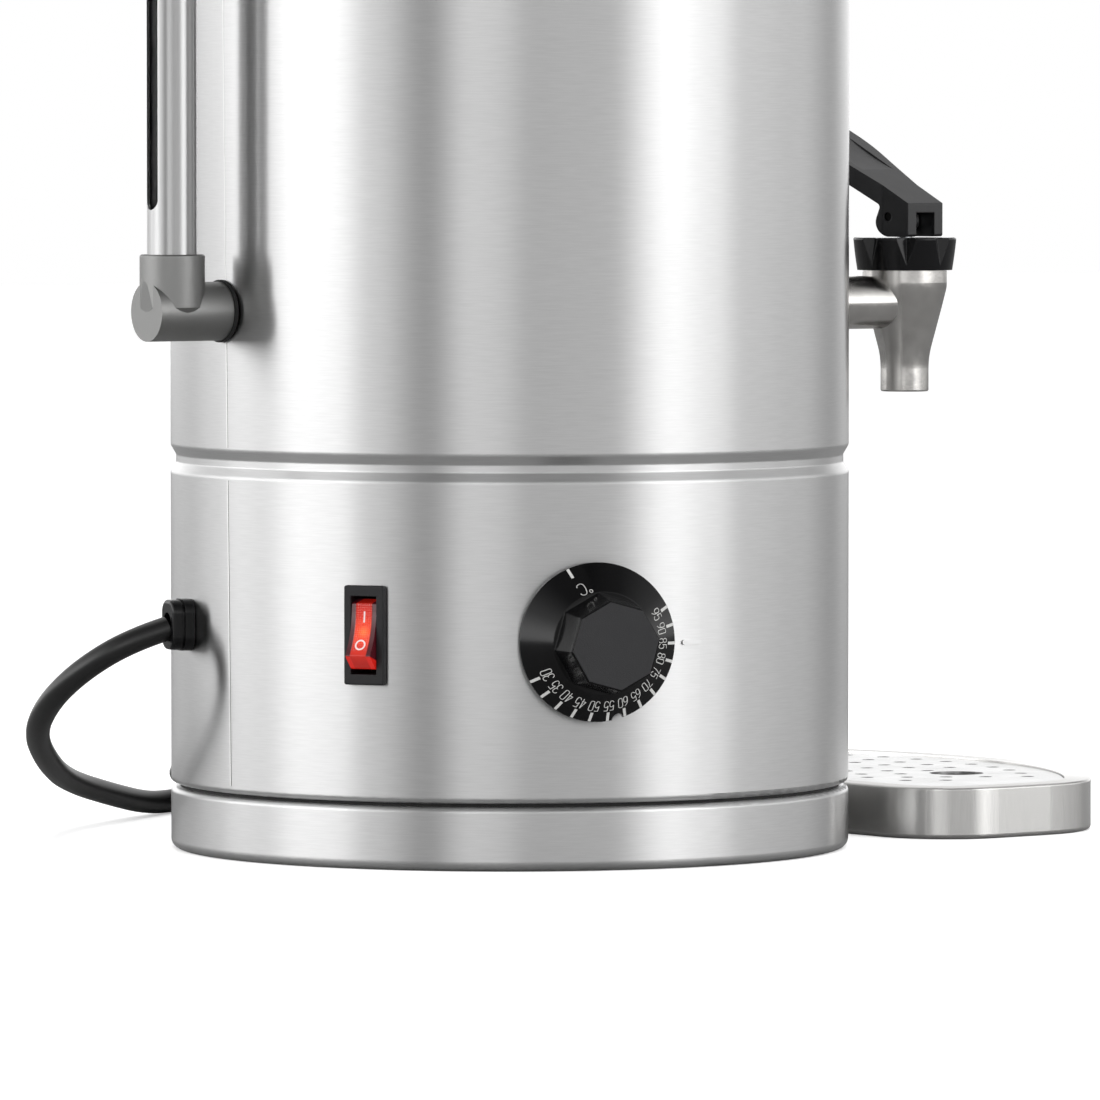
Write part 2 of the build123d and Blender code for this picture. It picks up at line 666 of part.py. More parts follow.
# ---------------------------------------------------------------- rocker switch
switch_plane = wall_plane(SWITCH_ANGLE, 0, SWITCH_Z)
ROCKER_PIVOT_R = 110.5
ROCKER_TILT = 17.0
with BuildPart() as switch_bezel:
    with BuildSketch(switch_plane.offset(BODY_R + 0.05)):
        RectangleRounded(14, 32, 0.8)
    extrude(amount=2.2)
    fillet(switch_bezel.faces().sort_by(outward(SWITCH_ANGLE))[-1].edges(), 0.5)
    with BuildSketch(switch_plane.offset(93)):
        Rectangle(12, 28.6)
    extrude(amount=BODY_R + 0.1 - 93)
    with BuildSketch(switch_plane.offset(100)):
        Rectangle(9.1, 25.2)
    extrude(amount=20, mode=Mode.SUBTRACT)
    with BuildSketch(radial_plane(SWITCH_ANGLE, ROCKER_PIVOT_R, SWITCH_Z)):
        Circle(1.25)
    extrude(amount=5.4, both=True, mode=Mode.SUBTRACT)
    with BuildSketch(switch_plane.offset(85)):
        with Locations((0, -9), (0, 0), (0, 9)):
            Rectangle(4.8, 0.8)
    extrude(amount=8)
save(switch_bezel, "switch_bezel")

tilt = radians(ROCKER_TILT)
switch_out = Vector(cos(radians(SWITCH_ANGLE)), sin(radians(SWITCH_ANGLE)), 0)
rocker_plane = Plane(
    origin=ROCKER_PIVOT_R * switch_out + Vector(0, 0, SWITCH_Z),
    x_dir=switch_out * cos(tilt) + Vector(0, 0, sin(tilt)),
    z_dir=(sin(radians(SWITCH_ANGLE)), -cos(radians(SWITCH_ANGLE)), 0),
)
with BuildPart() as switch_rocker:
    with BuildSketch(rocker_plane):
        with BuildLine():
            FilletPolyline(
                (6.5, 8.8), (4.2, 0), (6.5, -8.8), (0.5, -11.9), (-4.2, -4), (-4.2, 4),
                (0.5, 11.9), radius=[0.6, 24, 0.6, 1, 1, 1, 1], close=True)
        make_face()
    extrude(amount=4.35, both=True)
    with BuildSketch(rocker_plane):
        Circle(1.2)
    extrude(amount=5.2, both=True)
save(switch_rocker, "switch_rocker")

# ---------------------------------------------------------------- cable gland
gland_plane = wall_plane(GLAND_ANGLE, 0, GLAND_Z)
with BuildPart() as gland_body:
    with BuildSketch(gland_plane.offset(BODY_R + 0.05)):
        RectangleRounded(12.8, 17, 4.4)
    extrude(amount=3.3)
    with BuildSketch(gland_plane.offset(BODY_R + 3.3)):
        RectangleRounded(11.2, 14.6, 3.8)
    extrude(amount=0.9)
    with BuildSketch(gland_plane.offset(100)):
        RectangleRounded(9.4, 12.4, 2.8)
    extrude(amount=BODY_R + 0.1 - 100)
    with BuildSketch(gland_plane.offset(99)):
        Circle(CORD_D / 2 + 0.02)
    extrude(amount=30, mode=Mode.SUBTRACT)
save(gland_body, "gland_body")

with BuildPart() as gland_cap:
    with BuildSketch(gland_plane.offset(BODY_R + 4.2)):
        RectangleRounded(12.4, 16.4, 4.2)
    extrude(amount=3.4)
    fillet(gland_cap.faces().sort_by(outward(GLAND_ANGLE))[-1].edges(), 1.2)
    with BuildSketch(gland_plane.offset(99)):
        Circle(CORD_D / 2 + 0.02)
    extrude(amount=30, mode=Mode.SUBTRACT)
save(gland_cap, "gland_cap")

with BuildPart() as gland_nut:
    with BuildSketch(gland_plane.offset(106.6)):
        RectangleRounded(16, 19, 3)
        RectangleRounded(9.5, 12.5, 2.8, mode=Mode.SUBTRACT)
    extrude(amount=3.2)
save(gland_nut, "gland_nut")

# ---------------------------------------------------------------- heater, cut-out and wiring
with BuildPart() as heater_plate:
    with BuildSketch(Plane.XY.offset(FLOOR_Z - 6)):
        Circle(72)
    extrude(amount=6)
save(heater_plate, "heater_plate")

ELEMENT_R = 54.0
ELEMENT_Z = FLOOR_Z - 6 - 4.0
with BuildPart() as heating_element:
    with BuildSketch(Plane.XZ):
        with Locations((ELEMENT_R, ELEMENT_Z)):
            Circle(4.0)
    revolve(axis=Axis.Z, revolution_arc=310)
    for leg_angle in (0.5, 309.5):
        leg = radians(leg_angle)
        with Locations((ELEMENT_R * cos(leg), ELEMENT_R * sin(leg), ELEMENT_Z - 8)):
            Cylinder(3.2, 16)
        with Locations((ELEMENT_R * cos(leg), ELEMENT_R * sin(leg), ELEMENT_Z - 20)):
            Cylinder(1.5, 12)
save(heating_element, "heating_element")

with BuildPart() as overheat_cutout:
    with Locations((0, 0, FLOOR_Z - 6 - 4.5)):
        Cylinder(12, 9)
    with Locations((-8, 0, FLOOR_Z - 6 - 13), (8, 0, FLOOR_Z - 6 - 13)):
        Box(0.8, 6.3, 8)
save(overheat_cutout, "overheat_cutout")

with BuildPart() as temperature_bulb:
    with BuildSketch(Plane(origin=(-20, -30, FLOOR_Z - 6 - 3), z_dir=(1, 0, 0))):
        Circle(3)
    extrude(amount=50)
save(temperature_bulb, "temperature_bulb")

TERMINAL_AT = (-52.0, 30.0)
with BuildPart() as terminal_block:
    with Locations((*TERMINAL_AT, PLATE_Z + SHEET + 8)):
        Box(22, 34, 16)
    with Locations(*[(TERMINAL_AT[0], TERMINAL_AT[1] + shift, PLATE_Z + SHEET + 16)
                     for shift in (-11, 0, 11)]):
        Cylinder(3.2, 8, mode=Mode.SUBTRACT)
save(terminal_block, "terminal_block")


def run_of(points, width):
    """Sweep a round wire or lead along straight runs joined by arcs; return its arc radii."""
    corners = []
    for before, here, after in zip(points, points[1:], points[2:]):
        first, second = Vector(here) - Vector(before), Vector(after) - Vector(here)
        turn = first.get_angle(second)
        corners.append(0.45 * min(first.length, second.length) / tan(radians(turn / 2)))
    with BuildLine() as path:
        FilletPolyline(*points, radius=corners)
    with BuildSketch(Plane(origin=path.line @ 0, z_dir=path.line % 0)) as section:
        Circle(width / 2)
    sweep(section.sketch, path=path.line)
    return corners


def polar(angle, radius, height):
    """A point given by its angle round the urn, its radius and its height."""
    return (radius * cos(radians(angle)), radius * sin(radians(angle)), height)


WIRES = {
    "live": [polar(SWITCH_ANGLE, 84.5, SWITCH_Z - 9), polar(-150, 74, 64), polar(-160, 66, 46),
             (-50, -4, 34), (-52, 19, 32), (-52, 19, 24.5)],
    "switched": [polar(SWITCH_ANGLE, 84.5, SWITCH_Z), polar(-146, 74, 76), polar(-130, 62, 84),
                 polar(-119, 62, 84), polar(-116.5, 69, 81)],
    "heater": [polar(-103.5, 69, 81), polar(-98, 58, 84), polar(-72, 52, 90),
               polar(-52, 53.5, 97), polar(-50.5, 54, 98)],
    "neutral": [polar(0.5, 54, 98), polar(10, 50, 88), polar(70, 34, 60),
                (-30, 36, 42), (-51, 41, 34), (-52, 41, 24.5)],
}
with BuildPart() as wiring:
    for route in WIRES.values():
        run_of(route, 2.4)
save(wiring, "wiring")

inner_lead = [polar(GLAND_ANGLE, 100.0, GLAND_Z), polar(GLAND_ANGLE, 88, GLAND_Z),
              polar(158, 74, 62), polar(152, 67, 44), polar(150, 62, 32),
              (TERMINAL_AT[0], TERMINAL_AT[1], 26.5)]
with BuildPart() as inner_cord:
    run_of(inner_lead, CORD_D)
save(inner_cord, "inner_cord")

# ---------------------------------------------------------------- mains lead, coil and plug
LEAD = [
    (-117.1, 27.0, 74.6), (-129.1, 29.8, 71.0), (-139.9, 41.8, 61.6), (-143.2, 58.4, 50.2),
    (-136.2, 79.8, 38.0), (-114.5, 107.4, 26.0), (-87.9, 138.9, 17.0), (-55.4, 162.8, 9.5),
    (-29.5, 181.5, 4.4), (-9.5, 194.0, 4.0), (4.0, 206.0, 4.0),
]
TAIL = [(16.4, 216.2, 11.2), (22.6, 228.6, 10.2), (34.6, 244.4, 9.0), (54.6, 256.3, 11.0),
        (74.1, 256.4, 16.5), (88.2, 250.5, 18.3)]

with BuildPart() as mains_cord:
    print("mains_cord arcs", [round(r, 1) for r in run_of(LEAD, CORD_D)])
save(mains_cord, "mains_cord")

with BuildPart() as cord_coil:
    with BuildSketch(Plane(origin=(*COIL_CENTRE, 0))):
        Circle(COIL_MIDDLE_R + CORD_D)
        Circle(COIL_MIDDLE_R - CORD_D, mode=Mode.SUBTRACT)
    extrude(amount=COIL_HEIGHT)
    fillet(cord_coil.edges().filter_by(GeomType.CIRCLE), 2.5)
save(cord_coil, "cord_coil")

with BuildPart() as cord_tail:
    print("cord_tail arcs", [round(r, 1) for r in run_of(TAIL, CORD_D)])
save(cord_tail, "cord_tail")

PLUG_AT = Vector(88.2, 250.5, 18.3)
PLUG_DIR = Vector(0.829, -0.559, 0).normalized()
plug_plane = Plane(origin=PLUG_AT, x_dir=(0.559, 0.829, 0), z_dir=PLUG_DIR)
with BuildPart() as plug:
    with BuildSketch(plug_plane.offset(-2)):
        Circle(4.8)
    with BuildSketch(plug_plane.offset(22)):
        Circle(7.2)
    loft()
    with BuildSketch(plug_plane.offset(22)):
        Circle(10)
    with BuildSketch(plug_plane.offset(36)):
        Circle(18.0)
    loft()
    with BuildSketch(plug_plane.offset(36)):
        Circle(18.0)
        with Locations((18.6, 0), (-18.6, 0)):
            Circle(3, mode=Mode.SUBTRACT)
    extrude(amount=22)
    with BuildSketch(plug_plane.offset(-3)):
        Circle(CORD_D / 2 + 0.02)
    extrude(amount=5, mode=Mode.SUBTRACT)
save(plug, "plug")

with BuildPart() as plug_pins:
    for shift in (-9.5, 9.5):
        with BuildSketch(plug_plane.offset(58)):
            with Locations((0, shift)):
                Circle(2.4)
        extrude(amount=19)
    fillet(plug_pins.edges().sort_by(Axis(PLUG_AT, PLUG_DIR))[-2:], 1.4)
save(plug_pins, "plug_pins")

# ---------------------------------------------------------------- drip tray and its grid
tray_dir = radians(TRAY_ANGLE)
tray_base = Plane(
    origin=(-TRAY_OFFSET * sin(tray_dir), TRAY_OFFSET * cos(tray_dir), 0),
    x_dir=(cos(tray_dir), sin(tray_dir), 0), z_dir=(0, 0, 1))


def half_moon():
    """The tray's outline: a straight back, rounded tips and one long outer arc."""
    outer_centre = TRAY_FAR - TRAY_OUTER_R
    corner_w = TRAY_HALF - TRAY_CORNER_R
    reach = TRAY_OUTER_R - TRAY_CORNER_R
    corner_u = outer_centre + sqrt(reach**2 - corner_w**2)
    meet = atan2(corner_w, corner_u - outer_centre)
    tip_u, tip_w = TRAY_NEAR + TRAY_TIP_R, TRAY_HALF - TRAY_TIP_R
    middle = (meet + radians(90)) / 2
    for s in (1, -1):
        Line((TRAY_NEAR, 0), (TRAY_NEAR, s * tip_w))
        ThreePointArc(
            (TRAY_NEAR, s * tip_w),
            (tip_u - TRAY_TIP_R * cos(radians(45)), s * (tip_w + TRAY_TIP_R * sin(radians(45)))),
            (tip_u, s * TRAY_HALF))
        Line((tip_u, s * TRAY_HALF), (corner_u, s * TRAY_HALF))
        far_point = (outer_centre + TRAY_OUTER_R * cos(meet), s * TRAY_OUTER_R * sin(meet))
        ThreePointArc(
            (corner_u, s * TRAY_HALF),
            (corner_u + TRAY_CORNER_R * cos(middle), s * (corner_w + TRAY_CORNER_R * sin(middle))),
            far_point)
        ThreePointArc(
            far_point,
            (outer_centre + TRAY_OUTER_R * cos(meet / 2), s * TRAY_OUTER_R * sin(meet / 2)),
            (TRAY_FAR, 0))


def tray_layer(height, inset):
    """The outline on a level plane, drawn in by an inset."""
    with BuildSketch(tray_base.offset(height)) as layer:
        with BuildLine():
            half_moon()
        make_face()
        if inset:
            offset(amount=-inset, mode=Mode.REPLACE)
    return layer.sketch


with BuildPart() as drip_tray:
    extrude(tray_layer(0, 0), amount=TRAY_H)
    fillet(drip_tray.edges().group_by(Axis.Z)[0], 1.6)
    fillet(drip_tray.edges().group_by(Axis.Z)[-1], 0.9)
    extrude(tray_layer(1.2, 1.2), amount=TRAY_H - 2.2, mode=Mode.SUBTRACT)
    # folded ledge that carries the grid, and the opening through it
    extrude(tray_layer(TRAY_H - 2.6, TRAY_RIM - 1), amount=1.8)
    extrude(tray_layer(TRAY_H - 1.6, TRAY_RIM), amount=3, mode=Mode.SUBTRACT)
    extrude(tray_layer(TRAY_H - 3, TRAY_RIM + 4), amount=3, mode=Mode.SUBTRACT)
save(drip_tray, "drip_tray")

GRID_HOLE_R = 2.2
GRID_PITCH = 16.0
GRID_ROWS = [140.0, 125.5, 112.0, 98.5, 85.0, 71.5]
FINGER_HOLE = (185.8, -54.7)
FINGER_R = 9.25
grid_holes = []
for row, row_r in enumerate(GRID_ROWS):
    for k in range(-6, 7):
        around = (k + (0.5 if row % 2 == 0 else 0)) * GRID_PITCH / row_r
        u = TRAY_FAR - TRAY_OUTER_R + row_r * cos(around)
        w = row_r * sin(around)
        clear = sqrt((u - FINGER_HOLE[0]) ** 2 + (w - FINGER_HOLE[1]) ** 2)
        if abs(w) < 86 and u > TRAY_NEAR + 22 and clear > FINGER_R + 5:
            grid_holes.append((u, w))

with BuildPart() as drip_grid:
    extrude(tray_layer(TRAY_H - 1.6, TRAY_RIM + 0.3), amount=1.0)
    with BuildSketch(tray_base.offset(TRAY_H - 2)):
        with Locations(*grid_holes):
            Circle(GRID_HOLE_R)
        with Locations(FINGER_HOLE):
            Circle(FINGER_R)
    extrude(amount=3, mode=Mode.SUBTRACT)
save(drip_grid, "drip_grid")
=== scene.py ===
"""Hot water urn: finishes, printed marks and the mains lead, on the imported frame.

Metres, +Z up. The origin is on the urn's axis, on the surface it stands on. The tap points along
+X, and angles round the urn are counted anticlockwise from it, seen from above.
"""

from math import atan2, cos, pi, radians, sin

import bpy
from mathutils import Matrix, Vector


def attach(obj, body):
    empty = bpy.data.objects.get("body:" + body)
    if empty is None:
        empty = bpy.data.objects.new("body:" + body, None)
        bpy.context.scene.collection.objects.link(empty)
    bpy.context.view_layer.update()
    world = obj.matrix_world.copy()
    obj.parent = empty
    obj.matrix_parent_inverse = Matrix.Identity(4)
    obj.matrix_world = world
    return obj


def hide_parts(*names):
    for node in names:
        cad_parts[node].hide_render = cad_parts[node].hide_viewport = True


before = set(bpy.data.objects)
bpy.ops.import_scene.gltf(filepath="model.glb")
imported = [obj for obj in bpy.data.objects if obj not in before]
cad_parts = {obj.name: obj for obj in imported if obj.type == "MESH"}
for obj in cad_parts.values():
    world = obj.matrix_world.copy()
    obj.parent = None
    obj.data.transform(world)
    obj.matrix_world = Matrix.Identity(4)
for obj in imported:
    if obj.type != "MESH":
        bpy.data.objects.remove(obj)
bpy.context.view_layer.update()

# ---------------------------------------------------------------- camera
# A long lens a little above the tap, looking at the switch and the dial.
CAMERA_AT = (-1.7571, -2.6289, 0.243)
CAMERA_HEADING = -34.0
CAMERA_DIP = 2.619
LENS_MM = 311.9

camera = bpy.data.objects.new("camera", bpy.data.cameras.new("camera"))
camera.data.lens = LENS_MM
camera.data.sensor_width = 36.0
camera.location = CAMERA_AT
camera.rotation_euler = (radians(90 - CAMERA_DIP), 0, radians(CAMERA_HEADING))
bpy.context.collection.objects.link(camera)
bpy.context.scene.camera = camera
bpy.context.scene.view_settings.view_transform = "Standard"


# ---------------------------------------------------------------- studio
# A white room that metal mirrors as upright bands, brightest at eye level under a dim ceiling.
# Three soft boxes that metal doesn't mirror light it from left, right and above, over a floor of
# matt white card.
def linear(hex_colour):
    """An sRGB hex colour as the linear RGBA that Blender's shaders take."""
    parts = [int(hex_colour[i:i + 2], 16) / 255 for i in (1, 3, 5)]
    return (*(c / 12.92 if c <= 0.04045 else ((c + 0.055) / 1.055) ** 2.4 for c in parts), 1.0)


def add(tree, kind, inputs=None, **settings):
    """Add one shader node; inputs are socket values, or sockets to link from."""
    made = tree.nodes.new("ShaderNode" + kind)
    for key, value in settings.items():
        setattr(made, key, value)
    for key, value in (inputs or {}).items():
        if isinstance(value, bpy.types.NodeSocket):
            tree.links.new(value, made.inputs[key])
        else:
            made.inputs[key].default_value = value
    return made


def ramp_of(made, stops, interpolation="EASE"):
    """Give a colour ramp node its stops, as positions with a grey level or a hex colour."""
    ramp = made.color_ramp
    ramp.interpolation = interpolation
    while len(ramp.elements) < len(stops):
        ramp.elements.new(0.5)
    for element, (position, colour) in zip(ramp.elements, stops):
        element.position = position
        element.color = linear(colour) if isinstance(colour, str) else (colour, colour, colour, 1)
    return made.outputs["Color"]


def mix_colours(tree, share, first, second):
    """Blend two colours, or colour sockets, by a share from 0 to 1."""
    return add(tree, "Mix", {0: share, 6: first, 7: second}, data_type="RGBA").outputs[2]


# what metal sees round the room: bearing from the camera's side in degrees, right positive
ROOM = [
    (-180, 1.15), (-138, 1.20), (-119, 1.75), (-105, 2.45), (-92, 2.25), (-76, 3.30), (-62, 3.10),
    (-47, 1.75), (-28, 0.72), (-13, 1.90), (-5, 1.75), (8, 1.15), (22, 1.20), (34, 1.20),
    (57, 3.30), (72, 2.60), (88, 1.50), (114, 1.18), (142, 0.60), (160, 0.95), (180, 1.15),
]
BRIGHTEST = 4.0
EYE_LEVEL, UPPER_WALL = 1.24, 0.48
EYE_LEVEL_TO, UPPER_WALL_FROM = 0.15, 0.45
CEILING_FROM, CEILING_WHOLE_FROM = 0.5, 0.85
DIM_CEILING, REAR_LAMPS = 0.2, 1.4
REAR_FROM, REAR_WHOLE_FROM = 0.30, 0.42
AMBIENT = 0.72
CAMERA_BEARING = -124.0

world = bpy.data.worlds.new("studio")
bpy.context.scene.world = world
world.use_nodes = True
world.cycles.sampling_method = "NONE"
room = world.node_tree
room.nodes.clear()
rays = add(room, "LightPath")
view = add(room, "TexCoord")
turned = add(room, "VectorRotate", {"Vector": view.outputs["Generated"],
                                    "Angle": radians(-CAMERA_BEARING)}, rotation_type="Z_AXIS")
bearing = add(room, "TexGradient", {"Vector": turned.outputs["Vector"]}, gradient_type="RADIAL")
levels = ramp_of(add(room, "ValToRGB", {"Fac": bearing.outputs["Fac"]}),
                 [((degrees + 180) / 360, level / BRIGHTEST) for degrees, level in ROOM])
height = add(room, "SeparateXYZ", {"Vector": view.outputs["Generated"]})
# the walls are brightest at eye level; the ceiling is dim, but for the lamps at its rear
share = add(room, "MapRange", {"Value": height.outputs["Z"], "From Min": EYE_LEVEL_TO,
                               "From Max": UPPER_WALL_FROM, "To Min": EYE_LEVEL * BRIGHTEST,
                               "To Max": UPPER_WALL * BRIGHTEST})
walls = add(room, "VectorMath", {0: levels, "Scale": share.outputs["Result"]}, operation="SCALE")
aside = add(room, "Math", {0: bearing.outputs["Fac"], 1: 0.5}, operation="SUBTRACT")
aside = add(room, "Math", {0: aside.outputs["Value"]}, operation="ABSOLUTE")
rear = add(room, "MapRange", {"Value": aside.outputs["Value"], "From Min": REAR_FROM,
                              "From Max": REAR_WHOLE_FROM, "To Min": DIM_CEILING,
                              "To Max": REAR_LAMPS})
up = add(room, "MapRange", {"Value": height.outputs["Z"], "From Min": CEILING_FROM,
                            "From Max": CEILING_WHOLE_FROM})
ceiling = mix_colours(room, up.outputs["Result"], walls.outputs["Vector"], rear.outputs["Result"])
shown = add(room, "Math", {0: rays.outputs["Is Camera Ray"],
                           1: rays.outputs["Is Transmission Ray"]}, operation="MAXIMUM")
metal = mix_colours(room, rays.outputs["Is Glossy Ray"], (AMBIENT,) * 3 + (1,), ceiling)
backdrop = mix_colours(room, shown.outputs["Value"], metal, (1, 1, 1, 1))
background = add(room, "Background", {"Color": backdrop})
add(room, "OutputWorld", {"Surface": background.outputs["Background"]})


def round_about(bearing_degrees, radius, height_above):
    """A place given by its bearing round the urn, its distance from the axis and its height."""
    a = radians(bearing_degrees)
    return Vector((radius * cos(a), radius * sin(a), height_above))


def soft_box(name, place, aim, wide, tall, watts):
    """A rectangular lamp that faces a point, and that metal doesn't mirror."""
    lamp = bpy.data.objects.new(name, bpy.data.lights.new(name, "AREA"))
    lamp.data.shape = "RECTANGLE"
    lamp.data.size, lamp.data.size_y, lamp.data.energy = wide, tall, watts
    lamp.location = place
    lamp.rotation_euler = (aim - place).to_track_quat("-Z", "Y").to_euler()
    lamp.visible_glossy = False
    bpy.context.collection.objects.link(lamp)


URN_MIDDLE = Vector((0, 0, 0.2))
LEFT_BEARING, RIGHT_BEARING = 160, -66
SIDE_BOX_AWAY, SIDE_BOX_UP, SIDE_BOX_WIDE = 1.6, 0.9, 0.6
TOP_BOX_AT = Vector((0.1, -0.1, 1.9))
BOX_LONG = 1.4
for name, lamp_bearing, watts in (("left_soft_box", LEFT_BEARING, 9),
                                  ("right_soft_box", RIGHT_BEARING, 7)):
    soft_box(name, round_about(lamp_bearing, SIDE_BOX_AWAY, SIDE_BOX_UP), URN_MIDDLE,
             SIDE_BOX_WIDE, BOX_LONG, watts)
soft_box("top_soft_box", TOP_BOX_AT, URN_MIDDLE, BOX_LONG, BOX_LONG, 16)

FLOOR_HALF = 9.0
CARD_GLOW = 0.38
floor_mesh = bpy.data.meshes.new("floor")
floor_mesh.from_pydata([(x * FLOOR_HALF, y * FLOOR_HALF, 0)
                        for x, y in ((-1, -1), (1, -1), (1, 1), (-1, 1))], [], [(0, 1, 2, 3)])
floor = bpy.data.objects.new("floor", floor_mesh)
bpy.context.collection.objects.link(floor)


def new_finish(name):
    """A new node material: its tree, its principled shader and its object coordinates."""
    made = bpy.data.materials.new(name)
    made.use_nodes = True
    tree = made.node_tree
    coordinates = add(tree, "TexCoord").outputs["Object"]
    return made, tree, tree.nodes["Principled BSDF"], coordinates


def settings_of(shader, **values):
    """Set a shader's own sockets; an underscore in a name stands for a space."""
    for key, value in values.items():
        shader.inputs[key.replace("_", " ")].default_value = value


# Matt white card: it clips to white for the camera and keeps the urn's shadow. Metal sees it
# much darker, as the dim floor round the card.
card, tree, shader, _ = new_finish("white_card")
settings_of(shader, Roughness=0.9, Specular_IOR_Level=0.1)
rays = add(tree, "LightPath")
sheet = mix_colours(tree, rays.outputs["Is Glossy Ray"], linear("#F2F2F2"), linear("#8A8A8A"))
tree.links.new(sheet, shader.inputs["Base Color"])
lift = add(tree, "Math", {0: rays.outputs["Is Camera Ray"], 1: CARD_GLOW}, operation="MULTIPLY")
settings_of(shader, Emission_Color=(1, 1, 1, 1))
tree.links.new(lift.outputs["Value"], shader.inputs["Emission Strength"])
floor_mesh.materials.append(card)

# ---------------------------------------------------------------- mains lead
# A round 8 mm three-core lead of 1.5 m in smooth black PVC. It drops out of its gland, runs
# behind the urn and is wound into a coil of four turns, with a moulded plug on its end.
CORD_D = 0.008
LEAD = [
    (-0.1171, 0.0270, 0.0746), (-0.1291, 0.0298, 0.0710), (-0.1399, 0.0418, 0.0616),
    (-0.1432, 0.0584, 0.0502), (-0.1362, 0.0798, 0.0380), (-0.1145, 0.1074, 0.0260),
    (-0.0879, 0.1389, 0.0170), (-0.0554, 0.1628, 0.0095), (-0.0295, 0.1815, 0.0044),
    (-0.0095, 0.1940, 0.0040), (0.0040, 0.2060, 0.0040),
]
TAIL = [
    (0.0040, 0.2169, 0.0118), (0.0180, 0.2330, 0.0105), (0.0346, 0.2450, 0.0095),
    (0.0546, 0.2563, 0.0110), (0.0741, 0.2564, 0.0165), (0.0882, 0.2505, 0.0183),
]
COIL_AT = Vector((0.0504, 0.1856, 0))
COIL_ENTRY = 146.0
STEPS = 16
# radius and height at each turn's start; the last pair is where the coil ends
TURNS = [(0.048, 0.0041), (0.040, 0.0041), (0.040, 0.0120), (0.048, 0.0120), (0.056, 0.0120)]
STEP_OVER = 4
TUCKED_TURN, TUCK = 1, 0.004

coil = []
for step in range(STEPS * (len(TURNS) - 1) - 1):
    turn, share_round = divmod(step, STEPS)
    over = max(0, share_round - (STEPS - STEP_OVER)) / STEP_OVER
    (near_r, near_z), (next_r, next_z) = TURNS[turn], TURNS[turn + 1]
    tuck = TUCK * sin(pi * over) if turn == TUCKED_TURN else 0
    radius = (near_r + (next_r - near_r) * over - tuck) / cos(pi / STEPS) ** 0.5
    angle = radians(COIL_ENTRY - 360 * step / STEPS)
    height_above = near_z + (next_z - near_z) * over
    coil.append(COIL_AT + Vector((radius * cos(angle), radius * sin(angle), height_above)))

lead_curve = bpy.data.curves.new("mains_lead", "CURVE")
lead_curve.dimensions = "3D"
lead_curve.bevel_depth = CORD_D / 2
lead_curve.bevel_resolution = 7
lead_curve.resolution_u = 8
lead_curve.use_fill_caps = True
spline = lead_curve.splines.new("NURBS")
route = [Vector(p) for p in LEAD] + coil + [Vector(p) for p in TAIL]
spline.points.add(len(route) - 1)
for point, at in zip(spline.points, route):
    point.co = (*at, 1)
spline.order_u = 3
spline.use_endpoint_u = True
mains_lead = bpy.data.objects.new("mains_lead", lead_curve)
bpy.context.collection.objects.link(mains_lead)


def fine_bump(tree, place, millimetres, height_mm, strength=1.0):
    """A bump socket from noise whose grain is so many millimetres across."""
    scaled = add(tree, "Mapping", {"Vector": place, "Scale": (1000 / millimetres,) * 3})
    grain = add(tree, "TexNoise", {"Vector": scaled.outputs["Vector"], "Scale": 1.0})
    bump = add(tree, "Bump", {"Height": grain.outputs[0], "Distance": height_mm / 1000,
                              "Strength": strength})
    return bump.outputs["Normal"]


# Smooth PVC: near black, half gloss, with the slight orange peel of an extruded sheath.
pvc, tree, shader, place = new_finish("extruded_pvc")
settings_of(shader, Base_Color=linear("#0D0D0D"), Roughness=0.36, IOR=1.53)
tree.links.new(fine_bump(tree, place, 2.5, 0.05, 0.5), shader.inputs["Normal"])
lead_curve.materials.append(pvc)


def dress(finish, *names):
    """Give CAD nodes a finish."""
    for name in names:
        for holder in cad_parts[name].material_slots:
            holder.link = "OBJECT"
            holder.material = finish


dress(pvc, "inner_cord", "mains_cord", "cord_coil", "cord_tail")
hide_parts("mains_cord", "cord_coil", "cord_tail")
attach(mains_lead, "urn")

# ---------------------------------------------------------------- base ring and shell
# Two rolled rings of 1 mm 304 stainless sheet, belt-brushed round the body after the seam was
# welded. The scratches stretch every reflection upright, so the room shows as tall bands. They
# are drawn 0.4 mm apart, coarser than real ones, which would be too fine to show.
def polar_place(tree, place):
    """Coordinates whose z is the distance from the upright axis, for rings turned on a lathe."""
    level = add(tree, "Mapping", {"Vector": place, "Scale": (1, 1, 0)})
    radius = add(tree, "VectorMath", {0: level.outputs["Vector"]}, operation="LENGTH")
    parts = add(tree, "SeparateXYZ", {"Vector": place})
    return add(tree, "CombineXYZ", {"X": parts.outputs["X"], "Y": parts.outputs["Y"],
                                    "Z": radius.outputs["Value"]}).outputs["Vector"]


LINE_MM = 0.4
LINE_CONTRAST = 0.035
LINE_SHARE = 0.75
CLOUDS_PER_METRE = 22.0
ROUGHNESS_SPREAD = 0.006
QUARTER_TURN = 0.25


